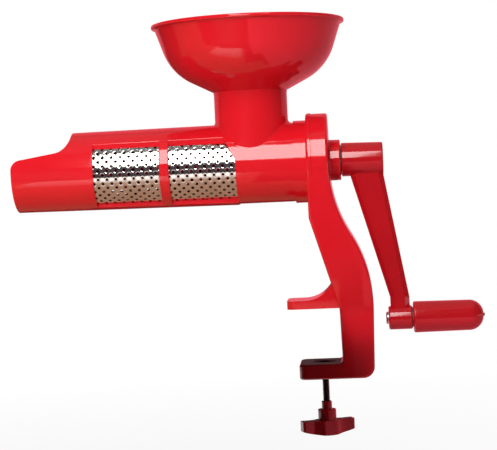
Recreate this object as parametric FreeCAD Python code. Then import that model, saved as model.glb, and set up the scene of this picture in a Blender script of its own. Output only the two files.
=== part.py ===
import FreeCAD
import Part
import math
import os

# Hand-cranked food mill with a table clamp. All sizes are in millimetres.
# The origin is the middle of the upper jaw's underside, where it rests on the table.
# X runs along the barrel towards the crank, Y to the far side, and Z up.

# Barrel, measured from the bracket's front face towards the spout
axis_height = 116.8        # barrel axis above the table top
collar_length = 10.0       # thicker ring beside the bracket
feed_length = 55.5         # from the bracket to the cage
window_length = 52.6       # each cage window along the barrel
rib_width = 7.6            # hoop between the two windows
cage_end_length = 19.0     # closed stretch between windows and spout
spout_length = 46.5        # open trough
feed_wall = 3.0
cage_wall = 3.2            # at the feed end of the cage
spout_wall = 1.9           # at the open end of the trough
collar_step = 1.3          # collar above the feed stretch
roof_half_width = 23.9     # half the width of the roof left above the windows
strip_half_width = 11.7    # half the width of the strip left below the windows
window_bevel_run = 15.5    # upper corner cut off beside the neck, along the barrel
window_bevel_drop = 28.5   # the same corner, downwards from the roof
window_edge_radius = 0.7
trough_lip = 17.0          # trough edge above the axis at its root
trough_fall = 7.2          # drop of that edge towards the open end
trough_root_radius = 14.0
trough_corner_radius = 8.0

# Feed neck and bowl
neck_offset = 43.2         # neck axis from the bracket's front face
neck_radius = 29.2
neck_wall = 2.4
neck_height = 56.2         # top of the neck above the barrel axis
saddle_radius = 3.0        # round between neck and barrel
bowl_rim_radius = 75.4
bowl_wall = 2.4
bowl_depth = 55.0
bowl_base_radius = 29.4
bowl_base_height = 1.7
bowl_wall_angle = 19.0     # from upright
bowl_floor_angle = 27.0    # from level
bowl_bend_radius = 44.0
rim_lip = 1.6              # bead round the rim
rim_lip_height = 3.0
plug_length = 14.0         # of the bowl inside the neck
plug_wall = 2.0
plug_clearance = 0.3

# Screen and the ring that keeps it in
screen_radius = 29.1
screen_wall = 0.6
screen_fit = 0.1           # radial, in the barrel
screen_seat = 4.5          # length of screen past the windows at the feed end
screen_tail = 10.5         # and at the spout end
hole_size = 2.4            # across a hole's corners
hole_pitch = 7.2           # along the barrel
hole_row_step = 3.6        # round the screen
ring_width = 2.5
ring_depth = 0.7           # of the ring's groove in the barrel
ring_lip = 0.7             # of the ring inside the screen's radius
ring_gap_angle = 14.0
ring_play = 0.15

# Feed screw, its shaft and bearing
flight_clearance = 0.6     # radial, in screen and barrel
flight_pitch = 30.0
flight_root = 5.0          # thickness where the flight leaves the core
flight_tip = 2.6
core_rear_radius = 11.0
core_front_radius = 15.0
nose_length = 9.0
shaft_radius = 5.0
shaft_reach = 32.0         # length of shaft inside the feed screw
square_size = 7.0          # across flats, in the crank
square_length = 25.0
pin_radius = 1.5
pin_inset = 14.0           # cross pin from the feed screw's rear face
running_fit = 0.05         # radial
fixed_fit = 0.02           # radial, for pieces that don't move on each other
axial_play = 0.2
seal_thick = 2.5
seal_radius = 9.5
bush_radius = 8.0

# Bracket: cup, bearing boss, arm and jaws
cup_radius = 38.2
cup_rim_width = 4.0
cup_rim_step = 0.5
cup_depth = 17.2
cup_floor = 4.2
boss_radius = 16.2
boss_length = 9.3
gasket_thick = 1.5
arm_root_drop = 44.8       # below the axis, where the arm's inner edge leaves the cup
arm_back = 48.6            # outer edge of the arm
arm_heel = 46.4            # the same at its foot
arm_upper_bend = 33.6      # corners of the outer edge below the axis
arm_lower_bend = 85.9
arm_upper_bend_radius = 104.0
arm_lower_bend_radius = 110.0
arm_heel_radius = 9.0
arm_half_width = 23.0
arm_edge_radius = 1.8
arm_crease_radius = 60.0   # where the tapered sides turn upright
throat_bend_radius = 12.0
throat = 20.9              # arm's face behind the jaws
throat_draft = 0.8
jaw_gap = 43.8             # largest table top
jaw_corner_radius = 3.0
upper_jaw_reach = 41.5
upper_jaw_thick = 6.6
upper_jaw_half_width = 19.5
lower_jaw_reach = 34.6
lower_jaw_thick = 12.0
jaw_plan_radius = 6.0
gusset_height = 12.4       # of the web that carries the upper jaw, above the jaw
gusset_run = 9.9
gusset_radius = 25.0

# Clamp screw, pad, nut and wing knob
clamp_offset = 13.9        # screw axis from the throat
screw_radius = 2.9
screw_tip_radius = 2.0
nut_across = 10.0
nut_thick = 5.0
nut_fit = 0.1
pad_radius = 9.0
pad_thick = 4.0
pad_sink = 0.1             # pad below the jaw's face when it is fully back
pad_clearance = 0.4
pad_floor_gap = 0.2
pad_cup_radius = 4.2
pad_cup_depth = 1.9
retainer_radius = 3.6
retainer_thick = 0.7
tip_past_retainer = 0.3
clamp_travel = 19.8        # from the jaw's underside to the knob's neck
knob_neck_radius = 4.1
knob_neck_length = 6.4
knob_boss_radius = 7.3
knob_boss_length = 8.7
wing_length = 43.6
wing_end_height = 8.0
wing_belly = 3.8           # extra height in the middle
wing_end_half = 5.2
wing_waist_half = 3.8
wing_drum_half = 8.3
wing_waist_offset = 11.5
wing_drum_offset = 5.5
wing_turn = 20.0
knob_socket_depth = 19.0

# Crank and grip
thrust_thick = 0.6
thrust_radius = 12.0
hub_radius = 13.5
hub_draft = 0.7            # less radius at the outer end
hub_length = 33.0
hub_recess_radius = 7.0
hub_recess_depth = 4.2
crank_web = 2.6            # between the square socket and that recess
crank_radius = 127.8
arm_top_width = 26.4
arm_foot_width = 15.2
arm_top_half = 6.8         # half the arm's thickness
arm_foot_half = 6.0
arm_bevel_width = 3.6
arm_bevel_half = 2.6
arm_foot_drop = 111.3      # foot of the tapered arm below the axis
foot_boss_offset = 32.2    # from the hub's inner end
foot_boss_length = 18.8
foot_boss_radius = 9.4
crank_screw_radius = 2.0
crank_screw_length = 18.0
crank_head_radius = 4.6
crank_head_height = 2.6
crank_washer_radius = 6.4
crank_washer_thick = 1.0
grip_radius = 12.5
grip_draft = 0.5
grip_length = 55.6
grip_dome_radius = 11.4
grip_pip_radius = 1.2
grip_pip_length = 0.9
grip_screw_radius = 3.0
grip_screw_depth = 30.0
grip_head_radius = 5.0
grip_head_height = 1.8
grip_washer_radius = 8.0
grip_washer_thick = 0.6

# Sizes and stations that follow from those above
screen_bore = screen_radius - screen_wall
cage_bore = screen_radius + screen_fit
feed_radius = screen_bore + feed_wall
cage_radius = cage_bore + cage_wall
spout_radius = cage_bore + spout_wall
collar_radius = feed_radius + collar_step
outside = max(cage_radius, collar_radius, cup_radius) + bowl_depth
near_window_x = -feed_length - window_length
far_window_x = near_window_x - rib_width - window_length
trough_x = far_window_x - cage_end_length
spout_x = trough_x - spout_length
screen_stop_x = -feed_length + screen_seat
screen_end_x = far_window_x - screen_tail
neck_x = -neck_offset
neck_top = axis_height + neck_height
rim_z = neck_top + bowl_base_height + bowl_depth
plug_radius = neck_radius - neck_wall - plug_clearance
throat_radius = plug_radius - plug_wall
flight_radius = screen_bore - flight_clearance
cup_side = cup_radius - cup_rim_step
cup_floor_x = cup_depth - cup_floor
cup_bore = feed_radius - fixed_fit
boss_x = cup_depth + boss_length
spigot_x = cup_floor_x - gasket_thick
auger_rear_x = cup_floor_x - seal_thick - axial_play
auger_front_x = screen_end_x
pin_x = auger_rear_x - pin_inset
hub_x = boss_x + thrust_thick + axial_play
hub_end_x = hub_x + hub_length
square_x = hub_x - axial_play
square_end_x = square_x + square_length
recess_x = hub_end_x - hub_recess_depth
grip_z = axis_height - crank_radius
foot_boss_x = hub_x + foot_boss_offset
foot_boss_end_x = foot_boss_x + foot_boss_length
grip_x = foot_boss_end_x + grip_washer_thick + axial_play
grip_end_x = grip_x + grip_length
clamp_x = throat - clamp_offset
lower_jaw_x = throat + throat_draft - lower_jaw_reach
lower_jaw_z = -jaw_gap - lower_jaw_thick
pad_top = -jaw_gap - pad_sink
pad_bottom = pad_top - pad_thick
recess_floor = pad_bottom - pad_floor_gap
nut_floor = recess_floor - nut_thick - nut_fit
knob_top = lower_jaw_z - clamp_travel
knob_boss_top = knob_top - knob_neck_length
wing_top = knob_boss_top - knob_boss_length
wing_bottom = wing_top - wing_end_height - wing_belly


def in_xz(a, b):
    return FreeCAD.Vector(a, 0, b)


def in_xy(a, b):
    return FreeCAD.Vector(a, b, 0)


def in_yz(a, b):
    return FreeCAD.Vector(0, a, b)


def fitted(flat, radii):
    """Radii of an outline's corners. Rounds that leave no straight on a side share it in proportion."""
    runs = []
    for i, corner in enumerate(flat):
        back, ahead = flat[i - 1] - corner, flat[(i + 1) % len(flat)] - corner
        runs.append(radii[i] / math.tan(back.getAngle(ahead) / 2))
    shares = [[] for corner in flat]
    for i, corner in enumerate(flat):
        side = corner.distanceToPoint(flat[i - 1])
        taken = runs[i - 1] + runs[i]
        if taken and taken > side - 0.1:
            shares[i - 1].append(side / taken)
            shares[i].append(side / taken)
    return [radius * min(share, default=1) for radius, share in zip(radii, shares)]


def outline(corners, place):
    """Flat face inside corners (a, b) or (a, b, radius), where a radius rounds its corner."""
    flat = [FreeCAD.Vector(c[0], c[1], 0) for c in corners]
    radii = fitted(flat, [c[2] if len(c) > 2 else 0 for c in corners])
    stretches = []
    for i, corner in enumerate(flat):
        back = (flat[i - 1] - corner).normalize()
        ahead = (flat[(i + 1) % len(flat)] - corner).normalize()
        half = back.getAngle(ahead) / 2
        run = radii[i] / math.tan(half)
        inward = (back + ahead).normalize() if radii[i] else back
        middle = corner + inward * (radii[i] / math.sin(half) - radii[i])
        stretches.append((corner + back * run, middle, corner + ahead * run))
    edges = []
    for i, (start, middle, end) in enumerate(stretches):
        points = [place(p.x, p.y) for p in (start, middle, end)]
        if radii[i]:
            edges.append(Part.Arc(*points).toShape())
        following = stretches[(i + 1) % len(stretches)][0]
        if end.distanceToPoint(following) > 1e-6:
            edges.append(Part.makeLine(points[2], place(following.x, following.y)))
    return Part.Face(Part.Wire(edges))


def turned_x(corners, z):
    """Solid of revolution about a line along X at height z, from corners (x, radius)."""
    face = outline(corners, in_xz)
    face.translate(FreeCAD.Vector(0, 0, z))
    return face.revolve(FreeCAD.Vector(0, 0, z), FreeCAD.Vector(1, 0, 0), 360)


def turned_z(corners, x):
    """Solid of revolution about an upright line at x, from corners (radius, z)."""
    face = outline(corners, in_xz)
    face.translate(FreeCAD.Vector(x, 0, 0))
    return face.revolve(FreeCAD.Vector(x, 0, 0), FreeCAD.Vector(0, 0, 1), 360)


def rod_x(start, end, radius, z):
    return Part.makeCylinder(radius, end - start, FreeCAD.Vector(start, 0, z), FreeCAD.Vector(1, 0, 0))


def rod_z(bottom, top, radius, x):
    return Part.makeCylinder(radius, top - bottom, FreeCAD.Vector(x, 0, bottom))


def tube_x(start, end, outer, inner, z):
    return rod_x(start, end, outer, z).cut(rod_x(start, end, inner, z))


def tube_z(bottom, top, outer, inner, x):
    return rod_z(bottom, top, outer, x).cut(rod_z(bottom, top, inner, x))


def slab(corners, near, far):
    """Outline in X and Z, given thickness in Y from near to far."""
    face = outline(corners, in_xz)
    face.translate(FreeCAD.Vector(0, near, 0))
    return face.extrude(FreeCAD.Vector(0, far - near, 0))


def square_bar(start, end, across):
    half = across / 2
    low = axis_height - half
    return Part.makeBox(end - start, across, across, FreeCAD.Vector(start, -half, low))


def edges_at(shape, wanted):
    """Edges of shape whose both ends and middle answer wanted(point)."""
    found = []
    for edge in shape.Edges:
        middle = edge.valueAt((edge.FirstParameter + edge.LastParameter) / 2)
        points = [v.Point for v in edge.Vertexes] + [middle]
        if all(wanted(p) for p in points):
            found.append(edge)
    return found


def bowl_corner(inset):
    """Radius and depth where wall and floor of the bowl would meet, inset from the outside."""
    wall = math.radians(bowl_wall_angle)
    floor = math.radians(bowl_floor_angle)
    rim = bowl_rim_radius - inset / math.cos(wall)
    depth = bowl_depth - inset / math.cos(floor)
    slopes = math.tan(wall) * math.tan(floor)
    radius = (rim - math.tan(wall) * (depth + bowl_base_radius * math.tan(floor))) / (1 - slopes)
    return radius, depth - (radius - bowl_base_radius) * math.tan(floor)


def make_hopper_bowl():
    """Bowl with a beaded rim, seated on the neck by its base ring and plugged into it."""
    slope = math.tan(math.radians(bowl_wall_angle))
    floor = math.tan(math.radians(bowl_floor_angle))
    outer_r, outer_d = bowl_corner(0)
    inner_r, inner_d = bowl_corner(bowl_wall)
    inner_rim = bowl_rim_radius - bowl_wall / math.cos(math.radians(bowl_wall_angle))
    plug_z = neck_top - plug_length
    mouth_d = inner_d + (inner_r - throat_radius) * floor
    lip_r = bowl_rim_radius + rim_lip
    under_lip_r = bowl_rim_radius - rim_lip_height * slope
    return turned_z([
        (inner_rim, rim_z, 0.8),
        (lip_r, rim_z, 1.0),
        (lip_r, rim_z - rim_lip_height, 1.0),
        (under_lip_r, rim_z - rim_lip_height, 0.8),
        (outer_r, rim_z - outer_d, bowl_bend_radius),
        (bowl_base_radius, rim_z - bowl_depth),
        (bowl_base_radius, neck_top),
        (plug_radius, neck_top),
        (plug_radius, plug_z),
        (throat_radius, plug_z),
        (throat_radius, rim_z - mouth_d, 3.0),
        (inner_r, rim_z - inner_d, bowl_bend_radius - bowl_wall),
    ], neck_x)


def window_cut(low_x, high_x, bevel, side):
    """Room cut out of one side of the cage, straight up and down as the mould opens."""
    reach = outside * side
    top = axis_height + cage_radius
    bottom = axis_height - outside
    flank = [(low_x, bottom), (high_x, bottom), (high_x, top)]
    if bevel:
        flank[2:] = [(high_x, top - window_bevel_drop), (high_x - window_bevel_run, top)]
    flank.append((low_x, top))
    belly = [(low_x, bottom), (high_x, bottom), (high_x, axis_height), (low_x, axis_height)]
    return slab(flank, roof_half_width * side, reach).fuse(slab(belly, strip_half_width * side, reach))


def cage_outside(x):
    """Outer radius of the tapered cage and spout at x."""
    return cage_radius + (cage_radius - spout_radius) * (x + feed_length) / (-feed_length - spout_x)


def on_window_edge(point):
    """Whether a point of the barrel lies on the outer edge of a window."""
    radius = math.hypot(point.y, point.z - axis_height)
    inside = far_window_x - 0.01 < point.x < -feed_length - 0.01
    return inside and abs(radius - cage_outside(point.x)) < 0.01


def make_barrel():
    """Barrel with feed neck, two cage windows on each side and the open trough of the spout."""
    blank_x = spout_x - collar_length
    feed = rod_x(blank_x / 2, 0, feed_radius, axis_height)
    neck = rod_z(axis_height, neck_top, neck_radius, neck_x)
    body = feed.fuse(neck)
    saddle = edges_at(body, lambda p: axis_height + 1 < p.z < axis_height + feed_radius + 0.01
                      and abs(math.hypot(p.x - neck_x, p.y) - neck_radius) < 0.01)
    body = body.makeFillet(saddle_radius, saddle)
    cage = turned_x([
        (-feed_length, 0),
        (-feed_length, cage_outside(-feed_length)),
        (blank_x, cage_outside(blank_x)),
        (blank_x, 0),
    ], axis_height)
    body = body.fuse([
        cage,
        rod_x(-collar_length, 0, collar_radius, axis_height),
        rod_x(0, spigot_x, cup_bore - fixed_fit, axis_height),
    ])
    body = body.cut([
        rod_x(blank_x - 1, screen_stop_x, cage_bore, axis_height),
        rod_x(screen_stop_x - 1, spigot_x + 1, screen_bore, axis_height),
        rod_z(axis_height, neck_top + 1, neck_radius - neck_wall, neck_x),
        rod_x(screen_end_x - ring_width - 2 * ring_play, screen_end_x, cage_bore + ring_depth, axis_height),
    ])
    top = axis_height + outside
    lip = axis_height + trough_lip
    trough = slab([
        (trough_x, top),
        (trough_x, lip, trough_root_radius),
        (spout_x, lip - trough_fall, trough_corner_radius),
        (spout_x, axis_height - outside),
        (blank_x - 2, axis_height - outside),
        (blank_x - 2, top),
    ], -outside, outside)
    cuts = [trough]
    for side in (-1, 1):
        cuts.append(window_cut(near_window_x, -feed_length, True, side))
        cuts.append(window_cut(far_window_x, near_window_x - rib_width, False, side))
    body = body.cut(cuts)
    return body.makeFillet(window_edge_radius, edges_at(body, on_window_edge))


def screen_hole(x, angle):
    """Four-sided punch through one place of the screen's wall."""
    half = hole_size / 2
    diamond = Part.makePolygon([
        FreeCAD.Vector(x - half, 0, 0),
        FreeCAD.Vector(x, -half, 0),
        FreeCAD.Vector(x + half, 0, 0),
        FreeCAD.Vector(x, half, 0),
        FreeCAD.Vector(x - half, 0, 0),
    ])
    punch = Part.Face(diamond)
    punch.translate(FreeCAD.Vector(0, 0, screen_bore - 1))
    punch = punch.extrude(FreeCAD.Vector(0, 0, screen_wall + 2))
    punch.rotate(FreeCAD.Vector(), FreeCAD.Vector(1, 0, 0), angle)
    punch.translate(FreeCAD.Vector(0, 0, axis_height))
    return punch


def make_strainer_screen():
    """Thin steel tube with staggered rows of holes where the windows bare it."""
    tube = tube_x(screen_end_x, screen_stop_x - axial_play, screen_radius, screen_bore, axis_height)
    row_angle = math.degrees(hole_row_step / screen_radius)
    top_angle = math.degrees(math.asin(roof_half_width / screen_radius))
    low_angle = 180 - math.degrees(math.asin(strip_half_width / screen_radius))
    rows = int((low_angle - top_angle) / row_angle)
    columns = int(window_length / hole_pitch)
    first_angle = (top_angle + low_angle - (rows - 1) * row_angle) / 2
    punches = []
    for row in range(rows):
        angle = first_angle + row * row_angle
        for window_x in (near_window_x, far_window_x):
            stagger = hole_pitch / 4 if row % 2 else -hole_pitch / 4
            first_x = window_x + (window_length - (columns - 1) * hole_pitch) / 2 + stagger
            for column in range(columns):
                x = first_x + column * hole_pitch
                punches.append(screen_hole(x, angle))
                punches.append(screen_hole(x, -angle))
    return tube.cut(punches)


def make_screen_ring():
    """Split ring sprung into a groove of the barrel, against the end of the screen."""
    end = screen_end_x - ring_play
    ring = tube_x(end - ring_width, end, cage_bore + ring_depth - ring_play, screen_radius - ring_lip, axis_height)
    half = cage_radius * math.tan(math.radians(ring_gap_angle / 2))
    gap = Part.makeBox(ring_width + 2, 2 * half, cage_radius,
                       FreeCAD.Vector(end - ring_width - 1, -half, axis_height))
    return ring.cut(gap)


def make_barrel_gasket():
    return tube_x(spigot_x, cup_floor_x, cup_bore - fixed_fit, screen_bore, axis_height)


def make_auger():
    """Tapered core with a helical flight, bored from behind for the shaft and its cross pin."""
    length = auger_rear_x - auger_front_x
    core = turned_x([
        (auger_rear_x, 0),
        (auger_rear_x, core_rear_radius),
        (auger_front_x, core_front_radius),
        (auger_front_x - nose_length, core_front_radius / 2, 4.0),
        (auger_front_x - nose_length, 0),
    ], axis_height)
    path = Part.makeHelix(flight_pitch, length - flight_root, flight_radius)
    inner = core_rear_radius - 2
    section = Part.makePolygon([
        FreeCAD.Vector(inner, 0, -flight_root / 2),
        FreeCAD.Vector(flight_radius, 0, -flight_tip / 2),
        FreeCAD.Vector(flight_radius, 0, flight_tip / 2),
        FreeCAD.Vector(inner, 0, flight_root / 2),
        FreeCAD.Vector(inner, 0, -flight_root / 2),
    ])
    flight = Part.Wire([path]).makePipeShell([section], True, True)
    flight.rotate(FreeCAD.Vector(), FreeCAD.Vector(0, 1, 0), -90)
    start_x = auger_rear_x - flight_root / 2
    flight.translate(FreeCAD.Vector(start_x, 0, 0))
    turn = 360 * (start_x - pin_x) / flight_pitch
    flight.rotate(FreeCAD.Vector(), FreeCAD.Vector(1, 0, 0), turn)
    flight.translate(FreeCAD.Vector(0, 0, axis_height))
    body = core.fuse(flight)
    return body.cut([
        rod_x(auger_rear_x - shaft_reach - axial_play, auger_rear_x + 1, shaft_radius + fixed_fit, axis_height),
        pin_rod(pin_radius + fixed_fit, 1),
    ])


def pin_rod(radius, extra):
    half = math.sqrt(core_rear_radius ** 2 - pin_radius ** 2) - 0.2 + extra
    return Part.makeCylinder(radius, 2 * half, FreeCAD.Vector(pin_x, -half, axis_height), FreeCAD.Vector(0, 1, 0))


def make_auger_shaft():
    """Round in the bearing, square in the crank, with a cross hole and a tapped end."""
    shaft = rod_x(auger_rear_x - shaft_reach, square_x, shaft_radius, axis_height)
    shaft = shaft.fuse(square_bar(square_x, square_end_x, square_size))
    return shaft.cut([
        pin_rod(pin_radius + fixed_fit, 1),
        rod_x(square_end_x - crank_screw_length, square_end_x + 1, crank_screw_radius + fixed_fit, axis_height),
    ])


def on_arm_side(point):
    """Whether a point below the cup's middle lies on one of the arm's two sides."""
    flare = (cup_side - arm_half_width) * max(0, point.z) / axis_height
    return abs(abs(point.y) - arm_half_width - flare) < 0.2


def make_clamp_bracket():
    """Cup and bearing boss for the barrel, and an arm that ends in the two jaws of the clamp."""
    side = slab([
        (0, axis_height),
        (0, axis_height - arm_root_drop, 6.0),
        (throat, 0, throat_bend_radius),
        (throat + throat_draft, -jaw_gap, jaw_corner_radius),
        (lower_jaw_x, -jaw_gap),
        (lower_jaw_x, lower_jaw_z),
        (arm_heel, lower_jaw_z, arm_heel_radius),
        (arm_back, axis_height - arm_lower_bend, arm_lower_bend_radius),
        (cup_depth, axis_height - arm_upper_bend, arm_upper_bend_radius),
        (cup_depth, axis_height),
    ], -cup_radius, cup_radius)
    low = lower_jaw_z - 1
    front = outline([
        (-cup_side, axis_height),
        (-arm_half_width, 0, arm_crease_radius),
        (-arm_half_width, low),
        (arm_half_width, low),
        (arm_half_width, 0, arm_crease_radius),
        (cup_side, axis_height),
    ], in_yz)
    front.translate(FreeCAD.Vector(-outside, 0, 0))
    arm = side.common(front.extrude(FreeCAD.Vector(2 * outside, 0, 0)))
    jaw_end = edges_at(arm, lambda p: abs(p.x - lower_jaw_x) < 0.01)
    upright = [e for e in jaw_end if abs(e.Vertexes[0].Y - e.Vertexes[-1].Y) < 0.01]
    arm = arm.makeFillet(jaw_plan_radius, upright)
    arm = arm.makeFillet(arm_edge_radius, edges_at(arm, on_arm_side))
    cup = turned_x([
        (0, 0),
        (0, cup_radius, arm_edge_radius),
        (cup_rim_width, cup_radius, 0.3),
        (cup_rim_width, cup_side),
        (cup_depth, cup_side, arm_edge_radius),
        (cup_depth, boss_radius, 1.5),
        (boss_x, boss_radius, 1.0),
        (boss_x, 0),
    ], axis_height)
    upper_jaw = make_upper_jaw()
    body = arm.fuse([cup, upper_jaw])
    return body.cut([
        rod_x(-1, cup_floor_x, cup_bore, axis_height),
        rod_x(0, boss_x + 1, bush_radius + fixed_fit, axis_height),
        rod_z(recess_floor, -jaw_gap + 1, pad_radius + pad_clearance, clamp_x),
        nut_prism(nut_floor, recess_floor + 1, nut_across + 2 * nut_fit),
        rod_z(lower_jaw_z - 1, nut_floor + 1, screw_radius + pad_clearance, clamp_x),
    ])


def make_upper_jaw():
    """Jaw that rests on the table, with its curved web up to the arm."""
    tip_x = throat - upper_jaw_reach
    web_z = upper_jaw_thick + gusset_height
    edge_x = throat * (1 - web_z / (axis_height - arm_root_drop))
    jaw = slab([
        (tip_x, 0),
        (throat + upper_jaw_thick, 0),
        (throat + upper_jaw_thick, web_z),
        (edge_x, web_z),
        (edge_x - gusset_run, upper_jaw_thick, gusset_radius),
        (tip_x, upper_jaw_thick),
    ], -upper_jaw_half_width, upper_jaw_half_width)
    ends = edges_at(jaw, lambda p: abs(p.x - tip_x) < 0.01)
    upright = [e for e in ends if abs(e.Vertexes[0].Y - e.Vertexes[-1].Y) < 0.01]
    return jaw.makeFillet(jaw_plan_radius, upright)


def nut_prism(bottom, top, across):
    corner = across / math.sqrt(3)
    points = []
    for i in range(7):
        angle = math.radians(60 * i)
        points.append(FreeCAD.Vector(clamp_x + corner * math.cos(angle), corner * math.sin(angle), bottom))
    return Part.Face(Part.makePolygon(points)).extrude(FreeCAD.Vector(0, 0, top - bottom))


def make_shaft_bush():
    return tube_x(cup_floor_x, boss_x, bush_radius, shaft_radius + running_fit, axis_height)


def make_shaft_seal():
    return tube_x(cup_floor_x - seal_thick, cup_floor_x, seal_radius, shaft_radius + running_fit, axis_height)


def make_thrust_washer():
    return tube_x(boss_x, boss_x + thrust_thick, thrust_radius, shaft_radius + running_fit, axis_height)


def arm_section(x_low, x_high, half, z):
    """Eight-sided section of the crank arm: flat faces with bevelled edges."""
    thin = half - arm_bevel_half
    points = [
        FreeCAD.Vector(x_low, -thin, z),
        FreeCAD.Vector(x_low + arm_bevel_width, -half, z),
        FreeCAD.Vector(x_high - arm_bevel_width, -half, z),
        FreeCAD.Vector(x_high, -thin, z),
        FreeCAD.Vector(x_high, thin, z),
        FreeCAD.Vector(x_high - arm_bevel_width, half, z),
        FreeCAD.Vector(x_low + arm_bevel_width, half, z),
        FreeCAD.Vector(x_low, thin, z),
    ]
    return Part.makePolygon(points + points[:1])


def make_crank_arm():
    """Hub with a square socket, slanting tapered arm and the boss that carries the grip."""
    hub = turned_x([
        (hub_x, 0),
        (hub_x, hub_radius, 0.8),
        (hub_end_x, hub_radius - hub_draft, 1.2),
        (hub_end_x, 0),
    ], axis_height)
    top = arm_section(hub_end_x - arm_top_width, hub_end_x - 0.3, arm_top_half, axis_height)
    neck_z = axis_height - hub_radius
    neck = arm_section(hub_end_x - arm_top_width, hub_end_x - 0.2, arm_top_half, neck_z)
    foot_z = axis_height - arm_foot_drop
    foot_mid = foot_boss_x + foot_boss_length / 2
    foot_low = foot_mid - arm_foot_width / 2
    foot_high = foot_mid + arm_foot_width / 2
    foot = arm_section(foot_low, foot_high, arm_foot_half, foot_z)
    toe = arm_section(foot_low, foot_high, arm_foot_half, grip_z)
    arm = Part.makeLoft([top, neck, foot, toe], True, True)
    boss = turned_x([
        (foot_boss_x, 0),
        (foot_boss_x, foot_boss_radius, 1.2),
        (foot_boss_end_x, foot_boss_radius, 1.2),
        (foot_boss_end_x, 0),
    ], grip_z)
    body = hub.fuse([arm, boss])
    return body.cut([
        square_bar(hub_x - 1, recess_x - crank_web, square_size + 2 * running_fit),
        rod_x(hub_x, hub_end_x, crank_screw_radius + running_fit, axis_height),
        rod_x(recess_x, hub_end_x + 1, hub_recess_radius, axis_height),
        rod_x(foot_boss_x - 1, foot_boss_end_x + 1, grip_screw_radius + running_fit, grip_z),
    ])


def make_crank_washer():
    return tube_x(recess_x, recess_x + crank_washer_thick, crank_washer_radius,
                  crank_screw_radius + running_fit, axis_height)


def make_crank_screw():
    """Cheese-head screw from the hub's recess into the end of the shaft."""
    head_x = recess_x + crank_washer_thick
    start = square_end_x - crank_screw_length + axial_play
    screw = turned_x([
        (start, 0),
        (start, crank_screw_radius, 0.4),
        (head_x, crank_screw_radius),
        (head_x, crank_head_radius),
        (head_x + crank_head_height, crank_head_radius, 0.8),
        (head_x + crank_head_height, 0),
    ], axis_height)
    slot = Part.makeBox(crank_head_height, 2 * crank_head_radius, 1.0,
                        FreeCAD.Vector(head_x + crank_head_height / 2, -crank_head_radius, axis_height - 0.5))
    return screw.cut(slot)


def make_grip():
    """Turning handle with a domed end, bored from its flat end for the shoulder screw."""
    body = turned_x([
        (grip_x, 0),
        (grip_x, grip_radius, 1.2),
        (grip_end_x, grip_radius - grip_draft, grip_dome_radius),
        (grip_end_x, 0),
    ], grip_z)
    body = body.fuse(rod_x(grip_end_x - grip_pip_length, grip_end_x + grip_pip_length, grip_pip_radius, grip_z))
    return body.cut(rod_x(grip_x - 1, grip_x + grip_screw_depth + axial_play, grip_screw_radius + fixed_fit, grip_z))


def make_grip_washer():
    return tube_x(foot_boss_end_x, foot_boss_end_x + grip_washer_thick, grip_washer_radius,
                  grip_screw_radius + running_fit, grip_z)


def make_grip_screw():
    """Shoulder screw whose low head stops on the inner face of the crank's boss."""
    head_x = foot_boss_x - axial_play
    return turned_x([
        (head_x - grip_head_height, 0),
        (head_x - grip_head_height, grip_head_radius, 1.2),
        (head_x, grip_head_radius),
        (head_x, grip_screw_radius),
        (grip_x + grip_screw_depth, grip_screw_radius, 0.5),
        (grip_x + grip_screw_depth, 0),
    ], grip_z)


def make_clamp_nut():
    nut = nut_prism(nut_floor, nut_floor + nut_thick, nut_across)
    return nut.cut(rod_z(nut_floor - 1, nut_floor + nut_thick + 1, screw_radius + running_fit, clamp_x))


def make_clamp_pad():
    """Swivel pad that bears on the table's underside, dished on top for the screw's end."""
    pad = turned_z([
        (0, pad_bottom),
        (pad_radius, pad_bottom, 0.6),
        (pad_radius, pad_top, 0.6),
        (0, pad_top),
    ], clamp_x)
    return pad.cut([
        rod_z(pad_bottom - 1, pad_top + 1, screw_tip_radius + running_fit, clamp_x),
        rod_z(pad_top - pad_cup_depth, pad_top + 1, pad_cup_radius, clamp_x),
    ])


def make_pad_retainer():
    bottom = pad_top - pad_cup_depth + axial_play
    return tube_z(bottom, bottom + retainer_thick, retainer_radius, screw_tip_radius + fixed_fit, clamp_x)


def make_clamp_screw():
    """Threaded rod with a thin tip that carries the pad."""
    shoulder = pad_bottom - axial_play / 2
    tip = pad_top - pad_cup_depth + axial_play + retainer_thick + tip_past_retainer
    foot = knob_top - knob_socket_depth
    return turned_z([
        (0, foot),
        (screw_radius, foot, 0.5),
        (screw_radius, shoulder),
        (screw_tip_radius, shoulder),
        (screw_tip_radius, tip, 0.3),
        (0, tip),
    ], clamp_x)


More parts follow.
